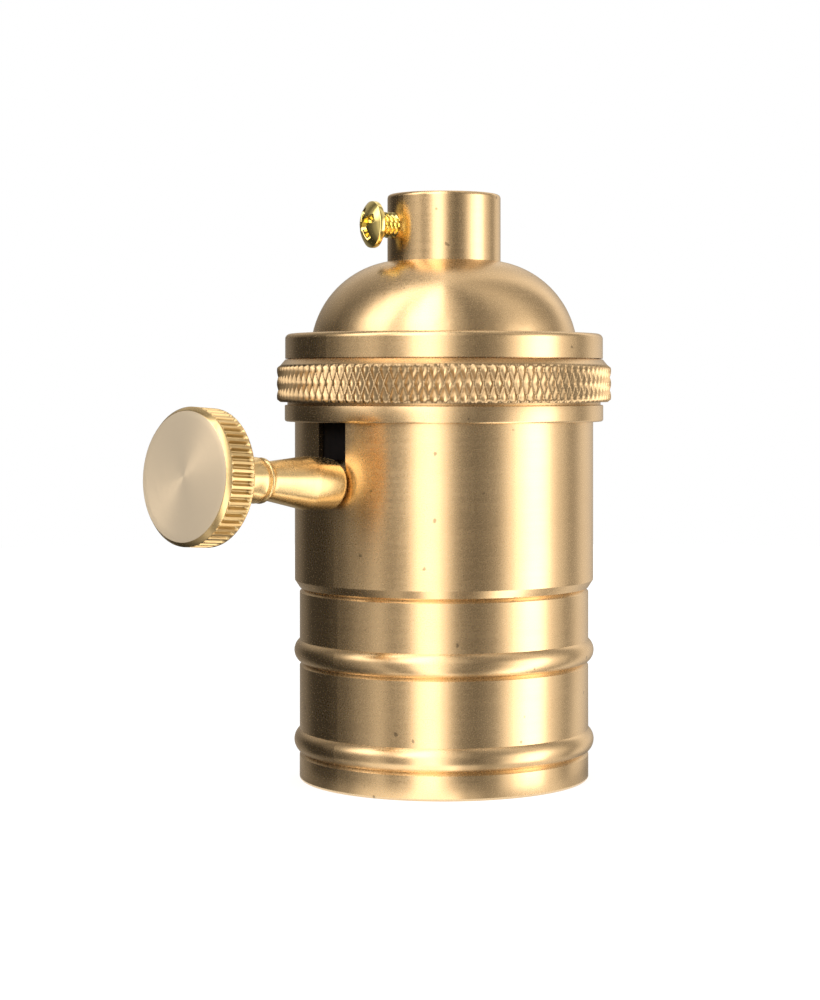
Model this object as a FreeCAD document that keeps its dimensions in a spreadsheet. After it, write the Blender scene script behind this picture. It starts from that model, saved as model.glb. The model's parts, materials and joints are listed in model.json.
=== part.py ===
"""Brass lamp holder with a knob switch, for an E27 lamp, hanging from an M10 pipe.

Lengths are millimetres. The origin is the centre of the open mouth's rim, +Z runs up the
axis to the threaded neck, and the switch's knob points along +X.
"""
import FreeCAD, Part

import math
import os
import re

import Sketcher

SIZES = {
    # outer shell
    "shell_wall": 0.75,
    "step_out": 0.65,
    "mouth_depth": 3.5,
    "mouth_edge": 0.45,
    "rim_rounding": 0.15,
    "step_base": 25.5,
    "step_rise": 1.0,
    "seat_rise": 0.5,
    "low_bead_height": 5.2,
    "high_bead_height": 17.1,
    "bead_arc": 1.8,
    "bead_stand": 0.72,
    "groove_width": 0.6,
    "groove_depth": 0.35,
    "lip_stand": 0.55,
    "lip_thickness": 0.9,
    "slot_width": 5.2,
    "slot_shift": 0.5,
    # knurled union ring
    "ring_wall": 0.65,
    "ring_height": 8.3,
    "ledge_thickness": 0.75,
    "collar_height": 2.2,
    "knurl_stand": 1.05,
    "parting_width": 0.4,
    "parting_depth": 0.35,
    "knurl_depth": 0.42,
    "knurl_row": 1.72,
    "flare_height": 0.8,
    "flare_step": 0.7,
    "collar_rounding": 0.3,
    "knurl_count": 108,
    # cap
    "skirt_wall": 2.3,
    "cap_rim_height": 3.3,
    "cap_rim_land": 3.65,
    "cap_rim_rounding": 0.7,
    "dome_arc": 12.36,
    "dome_rise": 9.7,
    "cap_wall": 1.3,
    "crown_wall": 1.8,
    "skirt_head": 1.7,
    "neck_height": 9.0,
    "neck_wall": 3.14,
    "neck_rounding": 0.5,
    "pipe_radius": 4.46,
    "bore_chamfer": 0.4,
    # neck screw
    "neck_screw_radius": 1.75,
    "neck_screw_bearing": 18.5,
    "neck_screw_drop": 4.3,
    "neck_tip_gap": 0.64,
    "neck_head_gap": 2.5,
    "neck_head_radius": 3.1,
    "neck_head_side": 0.7,
    "neck_head_dome": 1.2,
    "recess_half_width": 0.45,
    "recess_reach": 1.8,
    "recess_depth": 1.2,
    # lamp body and screw shell
    "body_mouth": 4.5,
    "body_wall": 4.55,
    "flange_height": 4.0,
    "body_floor": 1.4,
    "lamp_radius": 13.35,
    "lamp_sheet": 0.35,
    "lamp_depth": 19.3,
    "lamp_ledge": 5.4,
    "lamp_crown": 1.9,
    "lamp_crown_step": 0.75,
    # centre contact
    "contact_radius": 2.6,
    "contact_flange": 0.8,
    "contact_flange_height": 0.8,
    "contact_reach": 1.8,
    "spring_wire": 0.5,
    "spring_turns": 4.5,
    # switch
    "housing_height": 16.0,
    "housing_floor": 1.5,
    "housing_web": 0.9,
    "back_wall": 2.5,
    "front_wall": 9.1,
    "cover_thickness": 2.0,
    "cover_rim": 1.5,
    "cover_rim_rise": 1.25,
    "strip": 0.4,
    "strip_width": 4.0,
    "rotor_radius": 5.5,
    "rotor_gap": 0.9,
    "rotor_end_gap": 2.0,
    "rotor_front_gap": 4.0,
    "segment_end": 1.5,
    "segment_height": 3.0,
    "spindle_radius": 2.0,
    "spindle_square": 2.8,
    "spindle_lean": 4.0,
    "bush_wall": 1.2,
    "bush_flange": 1.0,
    "clip_width": 0.6,
    "clip_reach": 1.4,
    # knob
    "knob_radius": 8.5,
    "knob_width": 4.2,
    "knob_reach": 24.2,
    "knob_bevel": 0.45,
    "flute_count": 54,
    "flute_depth": 0.4,
    "shank_radius": 2.6,
    "swell_radius": 2.9,
    "swell_reach": 11.6,
    "swell_land": 0.7,
    "knob_groove_width": 0.35,
    "knob_groove_depth": 0.35,
    "bead_ring_width": 0.55,
    "waist_radius": 2.42,
    "cone_reach": 4.8,
    "stem_gap": 0.3,
    "stem_radius": 3.4,
    "stem_end_radius": 3.3,
    "stem_rounding": 0.9,
    "stem_socket": 6.0,
    # terminals
    "terminal_length": 5.6,
    "terminal_width": 4.6,
    "terminal_height": 6.0,
    "wire_radius": 1.3,
    "screw_radius": 1.2,
    "screw_head_radius": 2.0,
    "screw_head_height": 1.4,
    "screw_slot": 0.6,
    "body_screw_length": 14.0,
    "cover_screw_length": 7.0,
    # clearances
    "running_gap": 0.05,
    "loose_gap": 0.15,
    "drop_in_gap": 0.3,
}

# Sizes and places that follow from the ones above.
FOLLOWS = {
    "lamp_outer": "lamp_radius + lamp_sheet",
    "body_radius": "lamp_outer + running_gap + body_wall",
    "lower_bore": "body_radius + drop_in_gap",
    "lower_radius": "lower_bore + shell_wall",
    "upper_radius": "lower_radius + step_out",
    "seat_height": "step_base + seat_rise",
    "shell_height": "cover_top + cover_rim_rise + running_gap",
    "upper_bore": "upper_radius - shell_wall",
    "mouth_bore": "lower_radius - mouth_edge",
    "lip_radius": "upper_radius + lip_stand",
    "ring_bore": "lip_radius + loose_gap",
    "ring_radius": "ring_bore + ring_wall",
    "ring_base": "shell_height - lip_thickness - running_gap - ledge_thickness",
    "ring_top": "ring_base + ring_height",
    "parting_base": "ring_base + collar_height",
    "knurl_base": "parting_base + parting_width",
    "knurl_top": "ring_top - flare_height",
    "knurl_crest": "ring_radius + knurl_stand",
    "knurl_root": "knurl_crest - knurl_depth",
    "skirt_radius": "ring_bore - loose_gap",
    "skirt_bore": "skirt_radius - skirt_wall",
    "cap_rim_radius": "ring_radius - running_gap",
    "dome_foot_radius": "cap_rim_radius - cap_rim_land",
    "neck_radius": "pipe_radius + neck_wall",
    "cap_rim_base": "ring_top + running_gap * 2",
    "cap_rim_top": "cap_rim_base + cap_rim_height",
    "neck_base": "cap_rim_top + dome_rise",
    "neck_top": "neck_base + neck_height",
    "inner_arc": "dome_arc - cap_wall",
    "neck_screw_tip": "pipe_radius + neck_tip_gap",
    "neck_head_place": "neck_radius + neck_head_gap",
    "neck_screw_height": "neck_top - neck_screw_drop",
    "flange_radius": "upper_bore - loose_gap",
    "flange_top": "seat_height + flange_height",
    "lamp_mouth": "body_mouth + running_gap",
    "lamp_top": "lamp_mouth + lamp_depth",
    "lamp_wall_top": "lamp_top - lamp_sheet - lamp_crown",
    "crown_radius": "lamp_radius - lamp_crown_step",
    "neutral_place": "crown_radius + lamp_sheet - running_gap",
    "body_screw_place": "crown_radius - screw_head_radius - drop_in_gap - loose_gap",
    "cavity_half_width": "body_screw_place - hole_radius - housing_web",
    "cavity_back": "neutral_place - strip - back_wall",
    "cavity_front": "flange_radius - front_wall",
    "rotor_back": "cavity_back - rotor_end_gap",
    "rotor_front": "cavity_front - rotor_front_gap",
    "segment_centre": "rotor_back - segment_end - strip_width / 2",
    "stem_end": "upper_radius + stem_gap",
    "stem_cone": "stem_end + cone_reach",
    "swell_line": "stem_end + swell_reach",
    "ring_line": "swell_line - swell_land - knob_groove_width",
    "waist_line": "ring_line - bead_ring_width - knob_groove_width",
    "knob_face": "stem_end + knob_reach",
    "floor_base": "lamp_top",
    "pocket_base": "floor_base + body_floor",
    "pocket_radius": "contact_radius + contact_flange + loose_gap",
    "cavity_base": "flange_top + housing_floor",
    "spindle_height": "cavity_base + strip + rotor_gap + rotor_radius",
    "cover_base": "flange_top + housing_height",
    "cover_top": "cover_base + cover_thickness",
    "terminal_base": "cover_top + strip",
    "terminal_top": "terminal_base + terminal_height",
    "leaf_place": "rotor_radius + running_gap",
    "bead_half": "sqrt(bead_arc ^ 2 - (bead_arc - bead_stand) ^ 2)",
    "ledge_bore": "upper_radius + loose_gap",
    "dome_run": "dome_foot_radius - neck_radius",
    "dome_half": "sqrt(dome_run ^ 2 + dome_rise ^ 2) / 2",
    "dome_sink": "sqrt(dome_arc ^ 2 - dome_half ^ 2) / (2 * dome_half)",
    "dome_centre_radius": "(dome_foot_radius + neck_radius) / 2 - dome_sink * dome_rise",
    "dome_centre_height": "cap_rim_top + dome_rise / 2 - dome_sink * dome_run",
    "vault_foot": "cap_rim_top - skirt_head",
    "vault_top": "neck_base - crown_wall",
    "lamp_hole": "contact_radius + loose_gap",
    "contact_tip": "floor_base - contact_reach",
    "flange_seat": "pocket_base + contact_flange_height",
    "spring_radius": "contact_radius - spring_wire / 2",
    "hole_radius": "screw_radius + running_gap",
    "shell_screw_seat": "lamp_top - lamp_sheet",
    "bush_bore": "spindle_radius + running_gap",
    "bush_outer": "bush_bore + bush_wall",
    "bush_flange_radius": "bush_outer + bush_flange",
    "bush_seat": "cavity_front + bush_flange * 0.8",
    "bush_end": "flange_radius - bush_flange",
    "clip_place": "bush_seat - bush_flange - running_gap * 2 - clip_width",
    "clip_groove": "spindle_radius - bush_wall / 3",
    "dish_radius": "flange_radius - cover_rim",
    "cover_screw_place": "(dish_radius - screw_head_radius - drop_in_gap) / sqrt(2)",
    "neutral_terminal_place": "sqrt((dish_radius - drop_in_gap) ^ 2 - (terminal_length / 2) ^ 2)"
                              " - terminal_width / 2",
    "terminal_place": "leaf_place + strip + terminal_width / 2",
}


def make_sheet(doc):
    sheet = doc.addObject("Spreadsheet::Sheet", "Sizes")
    for row, (name, size) in enumerate(SIZES.items(), start=1):
        sheet.set(f"A{row}", name.replace("_", " "))
        sheet.set(f"B{row}", str(size))
        sheet.setAlias(f"B{row}", name)
    doc.recompute()
    return sheet


def spell(text):
    """Turn a formula in plain size names into one that reads the sheet."""
    def one(found):
        name = found.group(0)
        if name in FOLLOWS:
            return "(" + spell(FOLLOWS[name]) + ")"
        if name in SIZES:
            return "Sizes." + name
        return name
    return re.sub(r"[a-z_]+", one, str(text))


DOC = FreeCAD.newDocument("lamp_holder")
SHEET = make_sheet(DOC)


def value(text):
    return float(SHEET.evalExpression(spell(text)))


def plane_of(body, role):
    return next(plane for plane in body.Origin.OriginFeatures if plane.Role == role)


def new_body(label):
    body = DOC.addObject("PartDesign::Body", label)
    body.Label = label
    return body


def along_spindle(body):
    """Stand a piece drawn along its own X axis on the leaning line of the switch spindle."""
    body.setExpression("Placement", spell(
        "create(<<placement>>; create(<<vector>>; 0; 0; spindle_height);"
        " create(<<rotation>>; create(<<vector>>; 0; 1; 0); -spindle_lean))"))


def hold(sketch, kind, place, vertex, text):
    """Fix one coordinate of a sketch's corner to a formula."""
    size = value(text)
    if abs(size) < 1e-9:
        axis = -2 if kind == "DistanceX" else -1
        sketch.addConstraint(Sketcher.Constraint("PointOnObject", place, vertex, axis))
        return
    number = sketch.addConstraint(Sketcher.Constraint(kind, -1, 1, place, vertex, size))
    sketch.setExpression(f"Constraints[{number}]", spell(text))


def draw(body, name, role, corners, offset=None):
    """Draw a closed outline. A corner is (x, y), or (x, y, arc) where an arc of that radius
    leads on to the next corner: it bulges to the right of the way there, or left if negative."""
    sketch = body.newObject("Sketcher::SketchObject", name)
    sketch.AttachmentSupport = [(plane_of(body, role), "")]
    sketch.MapMode = "FlatFace"
    if offset is not None:
        sketch.setExpression("AttachmentOffset.Base.z", spell(offset))
    spots = [FreeCAD.Vector(value(corner[0]), value(corner[1]), 0) for corner in corners]
    ends = []
    for number, corner in enumerate(corners):
        start = spots[number]
        end = spots[(number + 1) % len(spots)]
        if len(corner) == 2:
            place = sketch.addGeometry(Part.LineSegment(start, end), False)
            ends.append((place, 1, 2))
            continue
        bulges_left = corner[2].startswith("-")
        arc_text = corner[2].lstrip("-")
        arc = value(arc_text)
        chord = end - start
        reach = math.sqrt(arc ** 2 - (chord.Length / 2) ** 2)
        left = FreeCAD.Vector(-chord.y, chord.x, 0).normalize()
        centre = (start + end) / 2 + left * (-reach if bulges_left else reach)
        circle = Part.Circle(centre, FreeCAD.Vector(0, 0, 1), arc)
        first, last = (end, start) if bulges_left else (start, end)
        turn = [math.atan2(spot.y - centre.y, spot.x - centre.x) for spot in (first, last)]
        place = sketch.addGeometry(Part.ArcOfCircle(circle, turn[0], turn[1]), False)
        bound = sketch.addConstraint(Sketcher.Constraint("Radius", place, arc))
        sketch.setExpression(f"Constraints[{bound}]", spell(arc_text))
        ends.append((place, 2, 1) if bulges_left else (place, 1, 2))
    for number, (place, _, finish) in enumerate(ends):
        following, start, _ = ends[(number + 1) % len(ends)]
        sketch.addConstraint(Sketcher.Constraint("Coincident", place, finish, following, start))
    for corner, (place, start, _) in zip(corners, ends):
        hold(sketch, "DistanceX", place, start, corner[0])
        hold(sketch, "DistanceY", place, start, corner[1])
    DOC.recompute()
    return sketch


def circle(body, name, role, centre_x, centre_y, radius, offset=None):
    sketch = body.newObject("Sketcher::SketchObject", name)
    sketch.AttachmentSupport = [(plane_of(body, role), "")]
    sketch.MapMode = "FlatFace"
    if offset is not None:
        sketch.setExpression("AttachmentOffset.Base.z", spell(offset))
    middle = FreeCAD.Vector(value(centre_x), value(centre_y), 0)
    place = sketch.addGeometry(Part.Circle(middle, FreeCAD.Vector(0, 0, 1), value(radius)), False)
    hold(sketch, "DistanceX", place, 3, centre_x)
    hold(sketch, "DistanceY", place, 3, centre_y)
    bound = sketch.addConstraint(Sketcher.Constraint("Radius", place, value(radius)))
    sketch.setExpression(f"Constraints[{bound}]", spell(radius))
    DOC.recompute()
    return sketch


def turn(body, corners, name="profile", axis="V_Axis", kind="PartDesign::Revolution"):
    """Revolve an outline about the sketch's upright or level axis, to add or to cut."""
    sketch = draw(body, f"{body.Label}_{name}", "XZ_Plane", corners)
    feature = body.newObject(kind, f"{body.Label}_{name}_turned")
    feature.Profile = sketch
    feature.ReferenceAxis = (sketch, [axis])
    feature.Angle = 360
    DOC.recompute()
    return feature


def raise_pad(body, sketch, length, both_ways=False):
    pad = body.newObject("PartDesign::Pad", sketch.Name + "_pad")
    pad.Profile = sketch
    if both_ways:
        pad.SideType = "Symmetric"
    pad.setExpression("Length", spell(length))
    DOC.recompute()
    return pad


def cut(body, sketch, length, both_ways=False, other_way=False):
    before = body.Shape.Volume
    pocket = body.newObject("PartDesign::Pocket", sketch.Name + "_cut")
    pocket.Profile = sketch
    if both_ways:
        pocket.SideType = "Symmetric"
    pocket.Reversed = other_way
    pocket.setExpression("Length", spell(length))
    DOC.recompute()
    if body.Shape.Volume >= before - 1e-6:
        raise RuntimeError(f"{sketch.Name} cuts nothing")
    return pocket


def block(low_x, high_x, low_y, high_y):
    return [(low_x, low_y), (high_x, low_y), (high_x, high_y), (low_x, high_y)]


def make_shell():
    body = new_body("shell")
    turn(body, [
        ("mouth_bore", "0"),
        ("lower_radius - rim_rounding", "0"),
        ("lower_radius", "rim_rounding"),
        ("lower_radius", "step_base"),
        ("upper_radius", "step_base + step_rise"),
        ("upper_radius", "shell_height - lip_thickness"),
        ("lip_radius", "shell_height - lip_thickness"),
        ("lip_radius", "shell_height"),
        ("upper_bore", "shell_height"),
        ("upper_bore", "seat_height"),
        ("lower_bore", "seat_height"),
        ("lower_bore", "mouth_depth"),
        ("mouth_bore", "mouth_depth"),
    ])
    for bead in ("low_bead_height", "high_bead_height"):
        turn(body, [
            ("lower_radius - groove_depth", f"{bead} - bead_half"),
            ("lower_radius", f"{bead} - bead_half", "bead_arc"),
            ("lower_radius", f"{bead} + bead_half"),
            ("lower_radius - groove_depth", f"{bead} + bead_half"),
        ], name=bead)
    lines = ["low_bead_height - bead_half", "high_bead_height - bead_half", "step_base"]
    for number, line in enumerate(lines, start=1):
        turn(body, [
            ("lower_radius", f"{line} - groove_width"),
            ("lower_radius - groove_depth", f"{line} - groove_width / 3"),
            ("lower_radius", line),
            ("lower_radius + groove_depth", f"{line} - groove_width / 2"),
        ], name=f"line_{number}", kind="PartDesign::Groove")
    slot_foot = "spindle_height + upper_radius * tan(spindle_lean)"
    slot_left = "-slot_shift - slot_width / 2"
    slot_right = "-slot_shift + slot_width / 2"
    slot = draw(body, "shell_slot", "YZ_Plane", [
        (slot_left, slot_foot, "slot_width / 2 + 0.0001"),
        (slot_right, slot_foot),
        (slot_right, "shell_height + lip_thickness"),
        (slot_left, "shell_height + lip_thickness"),
    ])
    cut(body, slot, "lip_radius * 2", other_way=True)
    return body


def make_knurl_band():
    """A solid band whose outside is a diamond knurl: three rings of crests and crossings."""
    count = int(round(value("knurl_count"))) * 2
    crest = value("knurl_crest")
    root = value("knurl_root")
    low = value("knurl_base")
    high = value("knurl_top")
    row = value("knurl_row")
    core = value("ring_bore + ring_wall / 2")
    middle = (low + high) / 2
    heights = [low, middle - row, middle, middle + row, high]

    def corner(ring, step):
        if ring in (0, len(heights) - 1):
            radius = root
        else:
            radius = crest if (ring + step) % 2 == 0 else root
        angle = math.pi * 2 * step / count
        return FreeCAD.Vector(radius * math.cos(angle), radius * math.sin(angle), heights[ring])

    faces = []

    def face(*points):
        faces.append(Part.Face(Part.makePolygon(list(points) + [points[0]])))

    for ring in range(len(heights) - 1):
        for step in range(count):
            after = (step + 1) % count
            near_low, far_low = corner(ring, step), corner(ring, after)
            near_high, far_high = corner(ring + 1, step), corner(ring + 1, after)
            if (ring + step) % 2 == 0:
                face(near_low, far_low, near_high)
                face(far_low, far_high, near_high)
            else:
                face(near_low, far_low, far_high)
                face(near_low, far_high, near_high)
    for ring in (0, len(heights) - 1):
        rim = [corner(ring, step) for step in range(count)]
        outer = Part.makePolygon(rim + [rim[0]])
        inner = Part.Wire(Part.makeCircle(core, FreeCAD.Vector(0, 0, heights[ring])))
        faces.append(Part.Face([outer, inner]))
    tube = Part.makeCylinder(core, high - low, FreeCAD.Vector(0, 0, low))
    faces.append(next(side for side in tube.Faces if "Cylinder" in str(side.Surface)))
    band = Part.Solid(Part.makeShell(faces))
    band.fix(1e-6, 1e-6, 1e-6)
    if band.Volume < 0:
        band.reverse()
    feature = DOC.addObject("Part::Feature", "knurl_band")
    feature.Shape = band
    return feature


def make_ring():
    blank = new_body("ring_blank")
    turn(blank, [
        ("ledge_bore", "ring_base"),
        ("ring_radius - collar_rounding", "ring_base", "collar_rounding"),
        ("ring_radius", "ring_base + collar_rounding"),
        ("ring_radius", "parting_base"),
        ("ring_radius - parting_depth", "parting_base"),
        ("ring_radius - parting_depth", "knurl_base"),
        ("ring_bore + ring_wall * 0.6", "knurl_base"),
        ("ring_bore + ring_wall * 0.6", "knurl_top"),
        ("knurl_root", "knurl_top"),
        ("knurl_root - flare_step", "ring_top"),
        ("ring_bore", "ring_top"),
        ("ring_bore", "ring_base + ledge_thickness"),
        ("ledge_bore", "ring_base + ledge_thickness"),
    ])
    ring = DOC.addObject("Part::Fuse", "knurled_ring")
    ring.Label = "knurled_ring"
    ring.Base = blank
    ring.Tool = make_knurl_band()
    DOC.recompute()
    return ring


def make_cap():
    body = new_body("cap")
    vault_foot_radius = ("dome_centre_radius"
                         " + sqrt(inner_arc ^ 2 - (vault_foot - dome_centre_height) ^ 2)")
    vault_top_radius = ("dome_centre_radius"
                        " + sqrt(inner_arc ^ 2 - (vault_top - dome_centre_height) ^ 2)")
    turn(body, [
        ("skirt_bore", "shell_height"),
        ("skirt_radius", "shell_height"),
        ("skirt_radius", "cap_rim_base"),
        ("cap_rim_radius", "cap_rim_base"),
        ("cap_rim_radius", "cap_rim_top - cap_rim_rounding", "cap_rim_rounding"),
        ("cap_rim_radius - cap_rim_rounding", "cap_rim_top"),
        ("dome_foot_radius", "cap_rim_top", "dome_arc"),
        ("neck_radius", "neck_base"),
        ("neck_radius", "neck_top - neck_rounding", "neck_rounding"),
        ("neck_radius - neck_rounding", "neck_top"),
        ("pipe_radius + bore_chamfer", "neck_top"),
        ("pipe_radius", "neck_top - bore_chamfer"),
        ("pipe_radius", "vault_top + bore_chamfer"),
        ("pipe_radius + bore_chamfer", "vault_top"),
        (vault_top_radius, "vault_top", "-inner_arc"),
        (vault_foot_radius, "vault_foot"),
        ("skirt_bore", "vault_foot"),
    ])
    hole = body.newObject("PartDesign::SubtractiveCylinder", "neck_screw_hole")
    hole.setExpression("Radius", spell("neck_screw_radius + running_gap"))
    hole.setExpression("Height", spell("neck_radius * 2"))
    hole.setExpression("Placement", spell(
        "create(<<placement>>; create(<<vector>>; 0; 0; neck_screw_height);"
        " create(<<rotation>>; -neck_screw_bearing; 90; 0))"))
    DOC.recompute()
    return body


def make_neck_screw():
    body = new_body("neck_screw")
    body.setExpression("Placement", spell(
        "create(<<placement>>; create(<<vector>>; 0; 0; neck_screw_height);"
        " create(<<rotation>>; -neck_screw_bearing; 0; 0))"))
    crown = "(neck_head_dome ^ 2 + neck_head_radius ^ 2) / (2 * neck_head_dome)"
    turn(body, [
        ("neck_screw_tip", "0"),
        ("neck_screw_tip", "neck_screw_radius * 0.8"),
        ("neck_screw_tip + neck_screw_radius * 0.2", "neck_screw_radius"),
        ("neck_head_place", "neck_screw_radius"),
        ("neck_head_place", "neck_head_radius"),
        ("neck_head_place + neck_head_side", "neck_head_radius", "-" + crown),
        ("neck_head_place + neck_head_side + neck_head_dome", "0"),
    ], axis="H_Axis")
    arm, reach = "recess_half_width", "recess_reach"
    cross = draw(body, "neck_screw_recess", "YZ_Plane", [
        (f"-{reach}", f"-{arm}"), (f"-{arm}", f"-{arm}"), (f"-{arm}", f"-{reach}"),
        (arm, f"-{reach}"), (arm, f"-{arm}"), (reach, f"-{arm}"),
        (reach, arm), (arm, arm), (arm, reach),
        (f"-{arm}", reach), (f"-{arm}", arm), (f"-{reach}", arm),
    ], offset="neck_head_place + neck_head_side + neck_head_dome")
    cut(body, cross, "recess_depth")
    return body


def make_knob():
    body = new_body("knob")
    along_spindle(body)
    back = "(knob_face - knob_width)"
    turn(body, [
        ("stem_end", "spindle_radius"),
        ("stem_end", "stem_end_radius - stem_rounding", "-stem_rounding"),
        ("stem_end + stem_rounding", "stem_end_radius"),
        ("stem_cone", "stem_radius"),
        ("waist_line - knob_groove_width", "waist_radius"),
        ("waist_line", "waist_radius"),
        ("waist_line + knob_groove_width", "swell_radius - knob_groove_depth"),
        ("waist_line + knob_groove_width", "swell_radius", "-bead_ring_width"),
        ("ring_line", "swell_radius"),
        ("ring_line", "swell_radius - knob_groove_depth"),
        ("ring_line + knob_groove_width", "swell_radius - knob_groove_depth"),
        ("ring_line + knob_groove_width", "swell_radius"),
        ("swell_line", "swell_radius"),
        ("swell_line + swell_land * 2", "shank_radius"),
        (back, "shank_radius"),
        (back, "knob_radius - knob_bevel / 2"),
        (f"{back} + knob_bevel / 2", "knob_radius"),
        ("knob_face - knob_bevel", "knob_radius"),
        ("knob_face", "knob_radius - knob_bevel"),
        ("knob_face", "0"),
        ("stem_end + stem_socket", "0"),
        ("stem_end + stem_socket", "spindle_radius"),
    ], axis="H_Axis")
    half = "(pi * knob_radius / flute_count)"
    notch = draw(body, "knob_flute", "YZ_Plane", [
        ("0", "knob_radius - flute_depth"),
        (f"{half} * 1.2", "knob_radius + flute_depth * 0.25"),
        (f"-{half} * 1.2", "knob_radius + flute_depth * 0.25"),
    ], offset="knob_face")
    first = cut(body, notch, "knob_width")
    pattern = body.newObject("PartDesign::PolarPattern", "knob_flutes")
    pattern.Originals = [first]
    pattern.Axis = (next(axis for axis in body.Origin.OriginFeatures if axis.Role == "X_Axis"), [""])
    pattern.Angle = 360
    pattern.setExpression("Occurrences", spell("flute_count"))
    body.Tip = pattern
    DOC.recompute()
    return body


def neutral_slot(body, top, length):
    slot = draw(body, body.Label + "_neutral_slot", "XY_Plane", block(
        "-neutral_place - running_gap", "-neutral_place + strip + running_gap",
        "-strip_width / 2 - running_gap", "strip_width / 2 + running_gap"), offset=top)
    cut(body, slot, length)


def make_lamp_body():
    body = new_body("lamp_body")
    turn(body, [
        ("lamp_outer + running_gap", "body_mouth"),
        ("body_radius - drop_in_gap", "body_mouth"),
        ("body_radius", "body_mouth + drop_in_gap"),
        ("body_radius", "seat_height"),
        ("flange_radius", "seat_height"),
        ("flange_radius", "flange_top"),
        ("pocket_radius", "flange_top"),
        ("pocket_radius", "pocket_base"),
        ("lamp_hole", "pocket_base"),
        ("lamp_hole", "floor_base"),
        ("lamp_outer + running_gap", "floor_base"),
    ])
    neutral_slot(body, "flange_top", "flange_top - floor_base")
    foot = draw(body, "lamp_body_foot_recess", "XY_Plane", block(
        "-neutral_place - running_gap", "-lamp_radius + lamp_ledge",
        "-strip_width / 2 - running_gap", "strip_width / 2 + running_gap"), offset="floor_base")
    cut(body, foot, "strip + running_gap", other_way=True)
    for number, side in enumerate(("", "-"), start=1):
        hole = circle(body, f"lamp_body_hole_{number}", "XY_Plane", "0",
                      side + "body_screw_place", "hole_radius", offset="flange_top")
        cut(body, hole, "flange_top - floor_base")
    return body


def make_screw_shell():
    body = new_body("screw_shell")
    turn(body, [
        ("lamp_radius", "lamp_mouth"),
        ("lamp_outer", "lamp_mouth"),
        ("lamp_outer", "lamp_wall_top + lamp_sheet"),
        ("crown_radius + lamp_sheet", "lamp_wall_top + lamp_sheet"),
        ("crown_radius + lamp_sheet", "lamp_top"),
        ("lamp_radius - lamp_ledge", "lamp_top"),
        ("lamp_radius - lamp_ledge", "lamp_top - lamp_sheet"),
        ("crown_radius", "lamp_top - lamp_sheet"),
        ("crown_radius", "lamp_wall_top"),
        ("lamp_radius", "lamp_wall_top"),
    ])
    for number, side in enumerate(("", "-"), start=1):
        hole = circle(body, f"screw_shell_hole_{number}", "XY_Plane", "0",
                      side + "body_screw_place", "hole_radius", offset="lamp_top")
        cut(body, hole, "lamp_sheet")
    return body


def make_centre_contact():
    body = new_body("centre_contact")
    turn(body, [
        ("0", "contact_tip"),
        ("contact_radius * 0.7", "contact_tip"),
        ("contact_radius", "contact_tip + contact_radius * 0.3"),
        ("contact_radius", "pocket_base"),
        ("contact_radius + contact_flange", "pocket_base"),
        ("contact_radius + contact_flange", "flange_seat"),
        ("0", "flange_seat"),
    ])
    return body


def make_contact_spring():
    wire = value("spring_wire") / 2
    low = value("flange_seat + running_gap") + wire
    high = value("cavity_base - running_gap") - wire
    radius = value("spring_radius")
    turns = value("spring_turns")
    coil = Part.makeHelix((high - low) / turns, high - low, radius)
    section = Part.Wire(Part.makeCircle(wire, FreeCAD.Vector(radius, 0, 0), FreeCAD.Vector(0, 1, 0)))
    pipe = Part.BRepOffsetAPI.MakePipeShell(Part.Wire(coil.Edges))
    pipe.setFrenetMode(True)
    pipe.add(section)
    pipe.build()
    pipe.makeSolid()
    spring = DOC.addObject("Part::Feature", "contact_spring")
    spring.Label = "contact_spring"
    spring.Shape = pipe.shape()
    spring.setExpression("Placement.Base.z",
                         spell("flange_seat + running_gap + spring_wire / 2"))
    return spring


def make_outlet_leaf():
    body = new_body("outlet_leaf")
    foot = draw(body, "outlet_leaf_foot", "XY_Plane", block(
        "-segment_centre - strip_width / 2", "pocket_radius",
        "-leaf_place - strip", "pocket_radius"), offset="cavity_base")
    raise_pad(body, foot, "strip")
    blade = draw(body, "outlet_leaf_blade", "YZ_Plane", block(
        "-leaf_place - strip", "-leaf_place",
        "cavity_base", "spindle_height + rotor_radius * 0.6"), offset="-segment_centre")
    raise_pad(body, blade, "strip_width", both_ways=True)
    return body


def make_live_leaf():
    body = new_body("live_leaf")
    blade = draw(body, "live_leaf_blade", "YZ_Plane", [
        ("leaf_place", "spindle_height - rotor_radius * 0.6"),
        ("leaf_place + strip", "spindle_height - rotor_radius * 0.6"),
        ("leaf_place + strip", "cover_top"),
        ("leaf_place + strip + terminal_width", "cover_top"),
        ("leaf_place + strip + terminal_width", "terminal_base"),
        ("leaf_place", "terminal_base"),
    ], offset="-segment_centre")
    raise_pad(body, blade, "strip_width", both_ways=True)
    hole = circle(body, "live_leaf_hole", "XY_Plane", "-segment_centre", "terminal_place",
                  "hole_radius", offset="terminal_base")
    cut(body, hole, "strip")
    return body


def make_neutral_strap():
    body = new_body("neutral_strap")
    strap = draw(body, "neutral_strap_edge", "XZ_Plane", [
        ("-neutral_place", "lamp_top"),
        ("-lamp_radius + lamp_ledge - running_gap", "lamp_top"),
        ("-lamp_radius + lamp_ledge - running_gap", "lamp_top + strip"),
        ("-neutral_place + strip", "lamp_top + strip"),
        ("-neutral_place + strip", "terminal_base"),
        ("-neutral_terminal_place - terminal_width * 0.4", "terminal_base"),
        ("-neutral_terminal_place - terminal_width * 0.4", "cover_top"),
        ("-neutral_place", "cover_top"),
    ])
    raise_pad(body, strap, "strip_width", both_ways=True)
    hole = circle(body, "neutral_strap_hole", "XY_Plane", "-neutral_terminal_place", "0",
                  "hole_radius", offset="terminal_base")
    cut(body, hole, "strip")
    return body


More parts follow.
